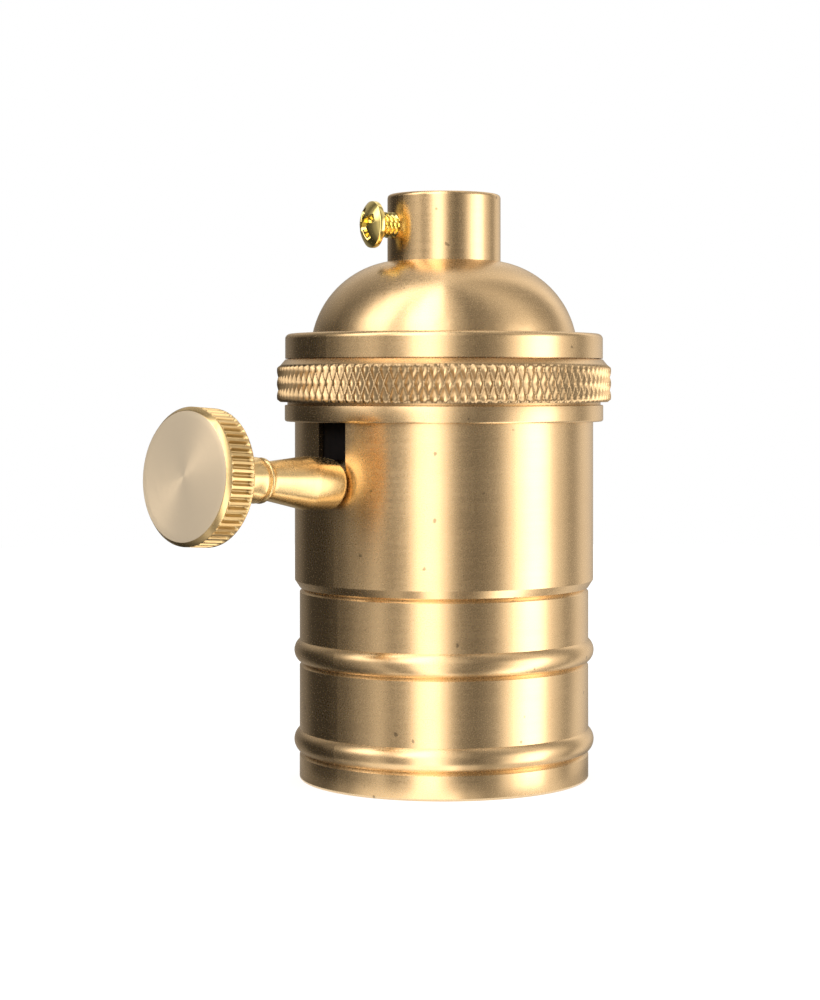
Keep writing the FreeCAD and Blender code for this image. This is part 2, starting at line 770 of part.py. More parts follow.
def lean_cut(body, name, start, end, radius):
    """Cut a round hole along the leaning spindle line."""
    tool = body.newObject("PartDesign::SubtractiveCylinder", name)
    tool.setExpression("Radius", spell(radius))
    tool.setExpression("Height", spell(f"({end}) - ({start})"))
    tool.setExpression("Placement", spell(
        f"create(<<placement>>; create(<<vector>>; ({start}) * cos(spindle_lean); 0;"
        f" spindle_height + ({start}) * sin(spindle_lean));"
        " create(<<rotation>>; create(<<vector>>; 0; 1; 0); 90 - spindle_lean))"))
    DOC.recompute()


def make_switch_housing():
    body = new_body("switch_housing")
    round_plan = circle(body, "switch_housing_plan", "XY_Plane", "0", "0", "flange_radius",
                        offset="flange_top")
    raise_pad(body, round_plan, "housing_height")
    cavity = draw(body, "switch_housing_cavity", "XY_Plane", block(
        "-cavity_back", "cavity_front", "-cavity_half_width", "cavity_half_width"),
        offset="cover_base")
    cut(body, cavity, "housing_height - housing_floor")
    well = circle(body, "switch_housing_well", "XY_Plane", "0", "0", "pocket_radius",
                  offset="cavity_base")
    cut(body, well, "housing_floor")
    neutral_slot(body, "cover_base", "housing_height")
    for number, side in enumerate(("", "-"), start=1):
        hole = circle(body, f"switch_housing_hole_{number}", "XY_Plane", "0",
                      side + "body_screw_place", "hole_radius", offset="flange_top")
        cut(body, hole, "shell_screw_seat + body_screw_length + drop_in_gap - flange_top",
            other_way=True)
        thread = circle(body, f"switch_housing_thread_{number}", "XY_Plane",
                        side + "cover_screw_place", side + "cover_screw_place", "hole_radius",
                        offset="cover_base")
        cut(body, thread, "cover_screw_length - cover_thickness + drop_in_gap")
    lean_cut(body, "switch_housing_bore", "cavity_front - bush_flange * 2",
             "upper_radius + bush_flange", "bush_outer")
    lean_cut(body, "switch_housing_spotface", "cavity_front - bush_flange * 2",
             "bush_seat", "bush_flange_radius + running_gap")
    return body


def make_switch_cover():
    body = new_body("switch_cover")
    plan = circle(body, "switch_cover_plan", "XY_Plane", "0", "0", "flange_radius",
                  offset="cover_base")
    raise_pad(body, plan, "shell_height - running_gap - cover_base")
    dish = circle(body, "switch_cover_dish", "XY_Plane", "0", "0", "dish_radius",
                  offset="shell_height - running_gap")
    cut(body, dish, "shell_height - running_gap - cover_top")
    neutral_slot(body, "cover_top", "cover_thickness")
    leaf = draw(body, "switch_cover_leaf_slot", "XY_Plane", block(
        "-segment_centre - strip_width / 2 - running_gap",
        "-segment_centre + strip_width / 2 + running_gap",
        "leaf_place - running_gap", "leaf_place + strip + running_gap"), offset="cover_top")
    cut(body, leaf, "cover_thickness")
    spots = {
        "live": ("-segment_centre", "terminal_place"),
        "neutral": ("-neutral_terminal_place", "0"),
        "near": ("cover_screw_place", "cover_screw_place"),
        "far": ("-cover_screw_place", "-cover_screw_place"),
    }
    for name, (place_x, place_y) in spots.items():
        hole = circle(body, f"switch_cover_hole_{name}", "XY_Plane", place_x, place_y,
                      "hole_radius", offset="cover_top")
        cut(body, hole, "cover_thickness")
    return body


def make_spindle():
    body = new_body("spindle")
    along_spindle(body)
    turn(body, [
        ("rotor_front", "0"),
        ("rotor_front", "spindle_radius"),
        ("clip_place", "spindle_radius"),
        ("clip_place", "clip_groove"),
        ("clip_place + clip_width", "clip_groove"),
        ("clip_place + clip_width", "spindle_radius"),
        ("stem_end + stem_socket - running_gap", "spindle_radius"),
        ("stem_end + stem_socket - running_gap", "0"),
    ], axis="H_Axis")
    half = "spindle_square / 2"
    square = draw(body, "spindle_tang", "YZ_Plane", block(
        "-" + half, half, "-" + half, half), offset="rotor_front")
    tang = raise_pad(body, square, "rotor_front - running_gap")
    tang.Reversed = True
    DOC.recompute()
    return body


def make_spindle_bush():
    body = new_body("spindle_bush")
    along_spindle(body)
    turn(body, [
        ("bush_seat - bush_flange", "bush_bore"),
        ("bush_end", "bush_bore"),
        ("bush_end", "bush_outer"),
        ("bush_seat", "bush_outer"),
        ("bush_seat", "bush_flange_radius"),
        ("bush_seat - bush_flange", "bush_flange_radius"),
    ], axis="H_Axis")
    return body


def make_spindle_clip():
    body = new_body("spindle_clip")
    along_spindle(body)
    outer = "spindle_radius + clip_reach"
    turn(body, [
        ("clip_place", "clip_groove"),
        ("clip_place + clip_width", "clip_groove"),
        ("clip_place + clip_width", outer),
        ("clip_place", outer),
    ], axis="H_Axis")
    gap = draw(body, "spindle_clip_gap", "YZ_Plane", block(
        "-clip_groove * 0.8", "clip_groove * 0.8", "0", f"({outer}) * 1.2"),
        offset="clip_place")
    cut(body, gap, "clip_width", other_way=True)
    return body


def make_rotor():
    body = new_body("rotor")
    along_spindle(body)
    turn(body, [
        ("-rotor_back", "0"),
        ("-rotor_back", "rotor_radius - clip_width"),
        ("-rotor_back + clip_width", "rotor_radius"),
        ("rotor_front - clip_width", "rotor_radius"),
        ("rotor_front", "rotor_radius - clip_width"),
        ("rotor_front", "0"),
    ], axis="H_Axis")
    half = "spindle_square / 2"
    socket = draw(body, "rotor_socket", "YZ_Plane", block(
        "-" + half, half, "-" + half, half), offset="rotor_front")
    cut(body, socket, "rotor_front")
    seat = draw(body, "rotor_segment_seat", "YZ_Plane", block(
        "-rotor_radius * 1.2", "rotor_radius * 1.2",
        "-segment_height / 2", "segment_height / 2"), offset="-segment_centre")
    cut(body, seat, "strip_width", both_ways=True)
    return body


def make_rotor_contact():
    body = new_body("rotor_contact")
    along_spindle(body)
    side = "sqrt(rotor_radius ^ 2 - (segment_height / 2) ^ 2)"
    bar = draw(body, "rotor_contact_bar", "YZ_Plane", [
        ("-" + side, "-segment_height / 2"),
        (side, "-segment_height / 2", "rotor_radius"),
        (side, "segment_height / 2"),
        ("-" + side, "segment_height / 2", "rotor_radius"),
    ], offset="-segment_centre")
    raise_pad(body, bar, "strip_width", both_ways=True)
    return body


def make_terminal(label, centre_x, centre_y, size_x, size_y):
    """A brass block on its tab, with a wire hole, a screw hole and a peg through the cover."""
    body = new_body(label)
    plan = draw(body, label + "_plan", "XY_Plane", block(
        f"{centre_x} - {size_x} / 2", f"{centre_x} + {size_x} / 2",
        f"{centre_y} - {size_y} / 2", f"{centre_y} + {size_y} / 2"), offset="terminal_base")
    raise_pad(body, plan, "terminal_height")
    peg = circle(body, label + "_peg", "XY_Plane", centre_x, centre_y, "screw_radius",
                 offset="terminal_base")
    post = raise_pad(body, peg, "strip + cover_thickness - running_gap")
    post.Reversed = True
    DOC.recompute()
    long_x = size_x == "terminal_length"
    wire = circle(body, label + "_wire_hole", "YZ_Plane" if long_x else "XZ_Plane",
                  centre_y if long_x else centre_x, "terminal_base + terminal_height * 0.36",
                  "wire_radius", offset=centre_x if long_x else "0")
    cut(body, wire, "terminal_length * 1.2", both_ways=True)
    screw = circle(body, label + "_screw_hole", "XY_Plane", centre_x, centre_y, "hole_radius",
                   offset="terminal_top")
    cut(body, screw, "terminal_height * 0.64")
    return body


def make_screw(name, place_x, place_y, seat, length, points_up):
    """A slotted cheese-head screw whose head sits on the seat and points away from its shank."""
    pieces = []
    head_base = seat if not points_up else f"{seat} - screw_head_height"
    shank_base = seat if points_up else f"{seat} - ({length})"
    for part, radius, base, height in (("head", "screw_head_radius", head_base, "screw_head_height"),
                                       ("shank", "screw_radius", shank_base, length)):
        rod = DOC.addObject("Part::Cylinder", f"{name}_{part}")
        rod.setExpression("Radius", spell(radius))
        rod.setExpression("Height", spell(height))
        rod.setExpression("Placement.Base.x", spell(place_x))
        rod.setExpression("Placement.Base.y", spell(place_y))
        rod.setExpression("Placement.Base.z", spell(base))
        pieces.append(rod)
    whole = DOC.addObject("Part::Fuse", name + "_whole")
    whole.Base, whole.Tool = pieces
    slot = DOC.addObject("Part::Box", name + "_slot")
    slot_base = f"{seat} + screw_head_height * 0.5" if not points_up else f"{head_base} - screw_slot"
    slot.setExpression("Length", spell("screw_head_radius * 2.2"))
    slot.setExpression("Width", spell("screw_slot"))
    slot.setExpression("Height", spell("screw_head_height * 0.5 + screw_slot"))
    slot.setExpression("Placement.Base.x", spell(f"{place_x} - screw_head_radius * 1.1"))
    slot.setExpression("Placement.Base.y", spell(f"{place_y} - screw_slot / 2"))
    slot.setExpression("Placement.Base.z", spell(slot_base))
    screw = DOC.addObject("Part::Cut", name)
    screw.Base, screw.Tool = whole, slot
    return screw


def make_screw_pair(label, spots, seat, length, points_up=False):
    pair = DOC.addObject("Part::Compound", label)
    pair.Label = label
    pair.Links = [make_screw(f"{label}_{number}", place_x, place_y, seat, length, points_up)
                  for number, (place_x, place_y) in enumerate(spots, start=1)]
    DOC.recompute()
    return pair


PIECES = [
    make_shell(),
    make_ring(),
    make_cap(),
    make_neck_screw(),
    make_knob(),
    make_lamp_body(),
    make_screw_shell(),
    make_centre_contact(),
    make_contact_spring(),
    make_outlet_leaf(),
    make_live_leaf(),
    make_neutral_strap(),
    make_switch_housing(),
    make_switch_cover(),
    make_spindle(),
    make_spindle_bush(),
    make_spindle_clip(),
    make_rotor(),
    make_rotor_contact(),
    make_terminal("live_terminal", "-segment_centre", "terminal_place",
                  "terminal_length", "terminal_width"),
    make_terminal("neutral_terminal", "-neutral_terminal_place", "0",
                  "terminal_width", "terminal_length"),
    make_screw_pair("terminal_screws", [("-segment_centre", "terminal_place"),
                                        ("-neutral_terminal_place", "0")],
                    "terminal_top", "terminal_height * 0.4"),
    make_screw_pair("shell_screws", [("0", "body_screw_place"), ("0", "-body_screw_place")],
                    "shell_screw_seat", "body_screw_length", points_up=True),
    make_screw_pair("cover_screws", [("cover_screw_place", "cover_screw_place"),
                                     ("-cover_screw_place", "-cover_screw_place")],
                    "cover_top", "cover_screw_length"),
]

DOC.recompute()
for item in DOC.Objects:
    if "Invalid" in item.State or "Error" in item.State:
        raise RuntimeError(f"{item.Label} failed: {item.State}")
for piece in PIECES:
    if piece.Shape.isNull() or not piece.Shape.isValid() or not piece.Shape.Solids:
        raise RuntimeError(f"{piece.Label} has no valid solid")

os.makedirs("parts", exist_ok=True)
for piece in PIECES:
    piece.Shape.exportStep(f"parts/{piece.Label}.step")
    print(f"{piece.Label}: {len(piece.Shape.Solids)} solid, {piece.Shape.Volume:.2f} mm3")
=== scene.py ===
"""Looks, light and camera for the brass lamp holder. Lengths are metres, in the frame of the part."""
import json
import math

import bmesh
import bpy
from mathutils import Matrix, Vector


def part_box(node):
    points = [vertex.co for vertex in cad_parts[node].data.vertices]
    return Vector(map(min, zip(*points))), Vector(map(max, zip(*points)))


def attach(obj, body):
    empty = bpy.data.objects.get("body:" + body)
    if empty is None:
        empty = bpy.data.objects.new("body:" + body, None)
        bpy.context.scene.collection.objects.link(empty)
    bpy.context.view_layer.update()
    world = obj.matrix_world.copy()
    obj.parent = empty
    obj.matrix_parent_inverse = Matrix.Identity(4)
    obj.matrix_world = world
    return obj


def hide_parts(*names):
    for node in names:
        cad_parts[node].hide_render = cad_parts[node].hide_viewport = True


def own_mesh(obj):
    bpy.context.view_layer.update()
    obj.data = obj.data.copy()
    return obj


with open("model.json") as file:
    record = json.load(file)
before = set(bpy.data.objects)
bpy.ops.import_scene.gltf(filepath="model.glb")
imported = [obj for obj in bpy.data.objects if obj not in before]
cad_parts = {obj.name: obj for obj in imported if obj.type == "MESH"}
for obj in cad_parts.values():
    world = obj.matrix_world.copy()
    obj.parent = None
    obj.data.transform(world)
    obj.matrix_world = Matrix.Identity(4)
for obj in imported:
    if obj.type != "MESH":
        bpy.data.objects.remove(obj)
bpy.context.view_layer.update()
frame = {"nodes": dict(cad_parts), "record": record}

NODES = frame["nodes"]
MM = 0.001


# ---------------------------------------------------------------- sizes that finishes and pieces share

# A line that something is turned about: a point on it and its direction.
UP = ((0.0, 0.0, 0.0), (0.0, 0.0, 1.0))
SPINDLE_HEIGHT = 38.3 * MM
SPINDLE_LEAN = math.radians(4.0)
ALONG_SPINDLE = ((0.0, 0.0, SPINDLE_HEIGHT),
                 (math.cos(SPINDLE_LEAN), 0.0, math.sin(SPINDLE_LEAN)))

KNURLS = 108
KNURL_LOW = 50.2 * MM
KNURL_HIGH = 55.1 * MM
KNURL_ROOT = 21.96 * MM
KNURL_CREST = 22.4 * MM

FLUTES = 54
FLUTE_DEPTH = 0.50 * MM
KNOB_RADIUS = 8.5 * MM
KNOB_BACK = 40.3 * MM
KNOB_FACE = 44.5 * MM


# ---------------------------------------------------------------- node helpers

class NodeTree:
    """A node tree, with short calls to add and join nodes."""

    def __init__(self, tree):
        self.tree = tree
        self.nodes = tree.nodes

    def add(self, kind, **settings):
        node = self.nodes.new(kind)
        for key, setting in settings.items():
            setattr(node, key, setting)
        return node

    def join(self, source, target):
        self.tree.links.new(source, target)

    def put(self, socket, entry):
        """Link a socket to the entry, or set it where the entry is a value."""
        if isinstance(entry, bpy.types.NodeSocket):
            self.join(entry, socket)
        else:
            socket.default_value = entry

    def math(self, operation, first, second=0.0, third=0.0):
        node = self.add("ShaderNodeMath", operation=operation)
        for socket, entry in zip(node.inputs, (first, second, third)):
            self.put(socket, entry)
        return node.outputs[0]

    def vector(self, operation, first, second=(0.0, 0.0, 0.0)):
        node = self.add("ShaderNodeVectorMath", operation=operation)
        self.put(node.inputs[0], first)
        self.put(node.inputs[1], second)
        return node.outputs["Value" if operation in ("DOT_PRODUCT", "LENGTH") else "Vector"]

    def place(self):
        """Where a point is on its object, in metres."""
        return self.add("ShaderNodeTexCoord").outputs["Object"]

    def noise(self, where, scale, detail, roughness):
        node = self.add("ShaderNodeTexNoise")
        self.put(node.inputs["Vector"], where)
        node.inputs["Scale"].default_value = scale
        node.inputs["Detail"].default_value = detail
        node.inputs["Roughness"].default_value = roughness
        return node.outputs["Fac"]

    def ramp(self, factor, stops, interpolation="LINEAR"):
        node = self.add("ShaderNodeValToRGB")
        node.color_ramp.interpolation = interpolation
        elements = node.color_ramp.elements
        while len(elements) < len(stops):
            elements.new(0.5)
        for element, (place, colour) in zip(elements, stops):
            element.position = place
            element.color = (*colour, 1.0)
        self.put(node.inputs["Fac"], factor)
        return node.outputs["Color"]

    def spread(self, factor, low, high, into_low, into_high):
        """Map the range from low to high onto another one, held at its ends."""
        node = self.add("ShaderNodeMapRange")
        for socket, entry in zip(node.inputs, (factor, low, high, into_low, into_high)):
            self.put(socket, entry)
        return node.outputs["Result"]

    def vary(self, noise, low, high):
        """Let a noise, which seldom leaves the range from 0.3 to 0.7, run from low to high."""
        return self.spread(noise, 0.3, 0.7, low, high)

    def mix(self, factor, first, second, blend="MIX"):
        """Mix two colours: the node has its colour sockets at 6 and 7, and gives one at 2."""
        node = self.add("ShaderNodeMix", data_type="RGBA", blend_type=blend)
        self.put(node.inputs[0], factor)
        for socket, colour in ((node.inputs[6], first), (node.inputs[7], second)):
            self.put(socket, (*colour, 1.0) if isinstance(colour, tuple) else colour)
        return node.outputs[2]

    def bump(self, height, distance):
        node = self.add("ShaderNodeBump")
        node.inputs["Strength"].default_value = 1.0
        node.inputs["Distance"].default_value = distance
        self.put(node.inputs["Height"], height)
        return node.outputs["Normal"]


class Shader(NodeTree):
    """The node tree of a new material."""

    def __init__(self, name):
        self.material = bpy.data.materials.new(name)
        self.material.use_nodes = True
        super().__init__(self.material.node_tree)
        self.surface = self.nodes["Principled BSDF"]
        self.inputs = self.surface.inputs

    def show_only(self, output):
        """Let the surface be this output instead of the usual one."""
        self.nodes.remove(self.surface)
        self.join(output, self.nodes["Material Output"].inputs["Surface"])


def scaled(colour, share):
    """A colour made darker or lighter."""
    return tuple(min(1.0, part * share) for part in colour)


# ---------------------------------------------------------------- finishes

TONE_CHANGE = 0.05
TURNING_DEPTH = 0.6e-6
ROLLING_DEPTH = 1.0e-6
MOULD_DEPTH = 3.0e-6
LINE_STREAK = 0.02
SATIN_GRAIN = 0.025
RING_DRIFT = (0.02, 0.02, 0.02)
PORE_EDGE = (0.765, 0.80)
PORE_SHADE = 0.35
# Painted shade in the valleys of knurls and flutes: how far the colour is darkened there.
VALLEY_PAINTED_SHADE = 0.45
TOOTH_EDGE = 0.15 * MM
FACE_EDGE = (0.90, 0.97)
FACE_METALLIC = 0.62
ADDED_ROUGHNESS = 0.10


def painted_shade_and_roughness_between_teeth(shader, tint, rough, along, away, colour, teeth):
    """Tint and roughness for a toothed band, with painted shade in its valleys and a rougher surface:
    its root and crest radius, and its start and end.
    """
    root, crest, low, high = teeth
    in_band = shader.math("MULTIPLY", shader.spread(along, low - TOOTH_EDGE, low, 0.0, 1.0),
                          shader.spread(along, high, high + TOOTH_EDGE, 1.0, 0.0))
    # Painted shade: the colour darkens towards the roots of the teeth, standing in for the shade in
    # the grooves.
    valley_painted_shade = shader.math("MULTIPLY", in_band, shader.spread(away, root, crest, 0.75, 0.05))
    return (shader.mix(valley_painted_shade, tint, scaled(colour, VALLEY_PAINTED_SHADE)),
            shader.math("ADD", rough, shader.math("MULTIPLY", in_band, ADDED_ROUGHNESS)))


def painted_sheen_on_face(shader, tint, rough, way, face):
    """Tint, roughness and metallic share for a flat end, which looks along way: a lighter colour
    painted there as a painted sheen, on a rougher, less metallic surface.
    """
    normal = shader.add("ShaderNodeNewGeometry").outputs["Normal"]
    on_face = shader.spread(shader.vector("DOT_PRODUCT", normal, way), *FACE_EDGE, 0.0, 1.0)
    # Painted sheen: the flat end gets the lighter face colour, standing in for the light its turned
    # face catches.
    return (shader.mix(on_face, tint, face),
            shader.math("ADD", rough, shader.math("MULTIPLY", on_face, ADDED_ROUGHNESS)),
            shader.spread(on_face, 0.0, 1.0, 1.0, FACE_METALLIC))


def turned_metal(name, colour, roughness, line=UP, anisotropy=0.6, face=None, teeth=None):
    """Metal turned about a line: fine rings round it, a satin grain, pores and changes of tone.

    face is a lighter colour painted on a flat end as a painted sheen, and teeth the sizes of a knurled
    or fluted band, whose valleys get painted shade.
    """
    shader = Shader(name)
    foot, way = line
    from_foot = shader.vector("SUBTRACT", shader.place(), foot)
    along = shader.vector("DOT_PRODUCT", from_foot, way)
    sideways = shader.vector("CROSS_PRODUCT", way, from_foot)
    away = shader.vector("LENGTH", sideways)
    rings = shader.add("ShaderNodeCombineXYZ")
    shader.put(rings.inputs["X"], along)
    shader.put(rings.inputs["Y"], away)
    # The rings change slowly on their way round, so that no line closes on itself.
    ring_place = shader.vector("ADD", rings.outputs["Vector"],
                               shader.vector("MULTIPLY", from_foot, RING_DRIFT))
    lines = shader.noise(ring_place, 9000.0, 2.0, 0.6)
    wide_lines = shader.noise(ring_place, 1400.0, 3.0, 0.6)
    speckle = shader.noise(shader.place(), 2600.0, 3.0, 0.65)
    cloud = shader.noise(shader.place(), 95.0, 3.0, 0.55)
    pores = shader.noise(shader.place(), 780.0, 1.0, 0.5)

    tone = shader.math("ADD", shader.math("MULTIPLY", cloud, 0.6),
                       shader.math("MULTIPLY", speckle, 0.4))
    # Dark patches are warmer: they lose some green and more blue.
    dark = tuple(part * (1.0 - TONE_CHANGE) * (1.0 - TONE_CHANGE * loss)
                 for part, loss in zip(colour, (0.0, 0.6, 1.4)))
    tint = shader.ramp(tone, [(0.3, dark), (0.7, scaled(colour, 1.0 + TONE_CHANGE))])
    tint = shader.mix(shader.spread(pores, *PORE_EDGE, 0.0, 0.75), tint, scaled(colour, PORE_SHADE))
    rough = shader.math("ADD",
                        shader.vary(wide_lines, roughness - LINE_STREAK, roughness + LINE_STREAK),
                        shader.vary(speckle, -SATIN_GRAIN, SATIN_GRAIN))
    metallic = 1.0
    if teeth is not None:
        tint, rough = painted_shade_and_roughness_between_teeth(shader, tint, rough, along, away, colour, teeth)
    if face is not None:
        tint, rough, metallic = painted_sheen_on_face(shader, tint, rough, way, face)

    to_world = shader.add("ShaderNodeVectorTransform", vector_type="VECTOR",
                          convert_from="OBJECT", convert_to="WORLD")
    shader.put(to_world.inputs[0], shader.vector("NORMALIZE", sideways))
    heights = shader.math("ADD", lines, shader.math("MULTIPLY", speckle, 0.8))
    shader.put(shader.inputs["Base Color"], tint)
    shader.put(shader.inputs["Roughness"], rough)
    shader.put(shader.inputs["Metallic"], metallic)
    shader.put(shader.inputs["Tangent"], to_world.outputs[0])
    shader.put(shader.inputs["Normal"], shader.bump(heights, TURNING_DEPTH))
    shader.inputs["Anisotropic"].default_value = anisotropy
    shader.inputs["Anisotropic Rotation"].default_value = 0.25
    return shader.material


def plain_metal(name, colour, roughness, streak_way=(1.0, 1.0, 1.0)):
    """Sheet, wire or plated metal: a faint rolling grain and changes of tone."""
    shader = Shader(name)
    grain = shader.noise(shader.vector("MULTIPLY", shader.place(), streak_way), 3200.0, 3.0, 0.6)
    cloud = shader.noise(shader.place(), 160.0, 3.0, 0.5)
    stops = [(0.3, scaled(colour, 1.0 - 2.0 * TONE_CHANGE)), (0.7, scaled(colour, 1.0 + TONE_CHANGE))]
    shader.put(shader.inputs["Base Color"], shader.ramp(cloud, stops))
    shader.put(shader.inputs["Roughness"], shader.vary(grain, roughness * 0.75, roughness * 1.25))
    shader.put(shader.inputs["Normal"], shader.bump(grain, ROLLING_DEPTH))
    shader.inputs["Metallic"].default_value = 1.0
    return shader.material


def moulded(name, colour, roughness, fleck, coat=0.0, gloss=0.5):
    """Moulded or glazed material: faint flecks, an uneven gloss and a slightly wavy surface."""
    shader = Shader(name)
    cloud = shader.noise(shader.place(), 210.0, 4.0, 0.6)
    fine = shader.noise(shader.place(), 1500.0, 3.0, 0.6)
    tone = shader.math("MULTIPLY_ADD", fine, 0.5, shader.math("MULTIPLY", cloud, 0.5))
    shader.put(shader.inputs["Base Color"], shader.ramp(tone, [(0.35, fleck), (0.6, colour)]))
    shader.put(shader.inputs["Roughness"], shader.vary(fine, roughness * 0.8, roughness * 1.2))
    shader.put(shader.inputs["Normal"], shader.bump(cloud, MOULD_DEPTH))
    shader.inputs["Specular IOR Level"].default_value = gloss
    shader.inputs["Coat Weight"].default_value = coat
    shader.inputs["Coat Roughness"].default_value = 0.08
    return shader.material


BRASS = (0.80, 0.605, 0.375)
MATERIALS = {
    "satin_brass": turned_metal("satin_brass", BRASS, 0.27),
    # The knob's face colour is a painted sheen, and the valleys of its flutes and of the knurl get
    # painted shade.
    "turned_brass": turned_metal("turned_brass", (0.83, 0.645, 0.355), 0.26, line=ALONG_SPINDLE,
                                 anisotropy=0.75, face=(0.99, 0.81, 0.58),
                                 teeth=(KNOB_RADIUS - FLUTE_DEPTH, KNOB_RADIUS,
                                        KNOB_BACK + 0.4 * MM, KNOB_FACE - 0.9 * MM)),
    "knurled_brass": turned_metal("knurled_brass", BRASS, 0.27,
                                  teeth=(KNURL_ROOT, KNURL_CREST, KNURL_LOW, KNURL_HIGH)),
    "gilt_screw": plain_metal("gilt_screw", (0.95, 0.80, 0.33), 0.10),
    "porcelain": moulded("porcelain", (0.86, 0.85, 0.82), 0.16, (0.80, 0.79, 0.75), coat=0.6),
    "rolled_brass": turned_metal("rolled_brass", (0.80, 0.64, 0.41), 0.18, anisotropy=0.3),
    "contact_brass": plain_metal("contact_brass", (0.78, 0.62, 0.39), 0.24),
    "spring_steel": plain_metal("spring_steel", (0.56, 0.56, 0.58), 0.22),
    "leaf_bronze": plain_metal("leaf_bronze", (0.76, 0.55, 0.39), 0.26,
                               streak_way=(1.0, 1.0, 0.05)),
    "black_bakelite": moulded("black_bakelite", (0.006, 0.005, 0.005), 0.6,
                              (0.003, 0.003, 0.003), gloss=0.03),
    "brown_bakelite": moulded("brown_bakelite", (0.13, 0.055, 0.028), 0.30, (0.08, 0.03, 0.016)),
    "steel": plain_metal("steel", (0.62, 0.62, 0.62), 0.22),
}
for part in frame["record"]["subparts"]:
    node = NODES[part["node"]]
    node.data.materials.clear()
    node.data.materials.append(MATERIALS[part["material_slot"]])


# ---------------------------------------------------------------- shape helpers

SHARP_EDGE = math.radians(38.0)


def dress(piece, body, slot, finish=None):
    """Give a new piece its finish and the body that it moves with."""
    piece.data.materials.append(MATERIALS[finish or slot])
    piece.data.shade_smooth()
    piece.data.set_sharp_from_angle(angle=SHARP_EDGE)
    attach(piece, body)


def plain_object(name, bm):
    """A new object in the scene with the mesh that bm holds."""
    mesh = bpy.data.meshes.new(name)
    bm.to_mesh(mesh)
    bm.free()
    thing = bpy.data.objects.new(name, mesh)
    bpy.context.scene.collection.objects.link(thing)
    return thing


def closed_object(name, bm):
    """The same for a closed surface, whose faces are turned outwards."""
    bmesh.ops.recalc_face_normals(bm, faces=bm.faces)
    return plain_object(name, bm)


def ease(share):
    """A soft step from 0 to 1, held at its ends."""
    share = min(1.0, max(0.0, share))
    return share * share * (3.0 - 2.0 * share)


def full_turn(share):
    """The angle of a share of a turn."""
    return 2.0 * math.pi * share


def arc_points(centre, radius, start, end, steps):
    """Points of an arc in a plane, angles in degrees."""
    points = []
    for step in range(steps + 1):
        angle = math.radians(start + (end - start) * step / steps)
        points.append((centre[0] + radius * math.cos(angle), centre[1] + radius * math.sin(angle)))
    return points


def skin(bm, rings, closed=False):
    """Faces from each ring of corners to the next, and from the last to the first if closed."""
    for before, after in zip(rings, rings[1:] + (rings[:1] if closed else [])):
        for side, corner in enumerate(before):
            following = (side + 1) % len(before)
            bm.faces.new([corner, before[following], after[following], after[side]])


def close_ends(bm, rings):
    bm.faces.new(rings[0][::-1])
    bm.faces.new(rings[-1])


def even_rows(outline, sides):
    """Rows for turned_rings that are the same all round, from (along, out) in millimetres."""
    return [[(along * MM, out * MM)] * sides for along, out in outline]


def turned_rings(bm, line, start, rows):
    """Rings of corners about a line, from the side of start on: a row has (along, out) per side."""
    foot, way = (Vector(entry) for entry in line)
    first = Vector(start)
    second = way.cross(first)
    rings = []
    for row in rows:
        ring = []
        for side, (along, out) in enumerate(row):
            angle = full_turn(side / len(row))
            outward = first * math.cos(angle) + second * math.sin(angle)
            ring.append(bm.verts.new(foot + way * along + outward * out))
        rings.append(ring)
    return rings


# ---------------------------------------------------------------- threads

E27_PITCH = 3.629 * MM
UNION_PITCH = 1.0 * MM
PIPE_PITCH = 1.0 * MM
NECK_BORE = 4.46 * MM
SCREW_BEARING = math.radians(-18.5)
SCREW_HEIGHT = 73.7 * MM
SCREW_HOLE = 2.05 * MM


def threaded_sleeve(name, low, high, pitch, back, root, crest, sides, rows_a_turn,
                    kept=lambda angle, height: True):
    """A closed sleeve round the z axis: plain at radius back, threaded between root and crest."""
    bm = bmesh.new()
    rows = max(2, round((high - low) / pitch * rows_a_turn))
    run_out = 0.6 * pitch
    corners = {}

    def corner(side, row, faced):
        """The corner on the plain wall, or on the thread if faced."""
        side %= sides
        key = (side, row, faced)
        if key not in corners:
            angle = full_turn(side / sides)
            height = low + (high - low) * row / rows
            radius = back
            if faced:
                wave = 0.5 - 0.5 * math.cos(full_turn(height / pitch - side / sides))
                ends = ease((height - low) / run_out) * ease((high - height) / run_out)
                radius = root + (crest - root) * wave * ends
            corners[key] = bm.verts.new((radius * math.cos(angle), radius * math.sin(angle), height))
        return corners[key]

    cells = [(side, row) for side in range(sides) for row in range(rows)
             if kept(full_turn((side + 0.5) / sides), low + (high - low) * (row + 0.5) / rows)]
    filled = set(cells)
    for side, row in cells:
        for faced in (True, False):
            bm.faces.new([corner(side, row, faced), corner(side + 1, row, faced),
                          corner(side + 1, row + 1, faced), corner(side, row + 1, faced)])
        borders = (((side - 1) % sides, row, (side, row), (side, row + 1)),
                   ((side + 1) % sides, row, (side + 1, row), (side + 1, row + 1)),
                   (side, row - 1, (side, row), (side + 1, row)),
                   (side, row + 1, (side, row + 1), (side + 1, row + 1)))
        for next_side, next_row, start, end in borders:
            if (next_side, next_row) not in filled:
                bm.faces.new([corner(*start, True), corner(*end, True),
                              corner(*end, False), corner(*start, False)])
    return closed_object(name, bm)


def make_lamp_thread():
    """The rolled E27 thread inside the screw shell."""
    low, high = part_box("screw_shell")
    return threaded_sleeve("lamp_thread", low[2] + 0.05 * MM, high[2] - 2.4 * MM, E27_PITCH,
                           back=13.34 * MM, root=13.2 * MM, crest=12.25 * MM,
                           sides=128, rows_a_turn=14)


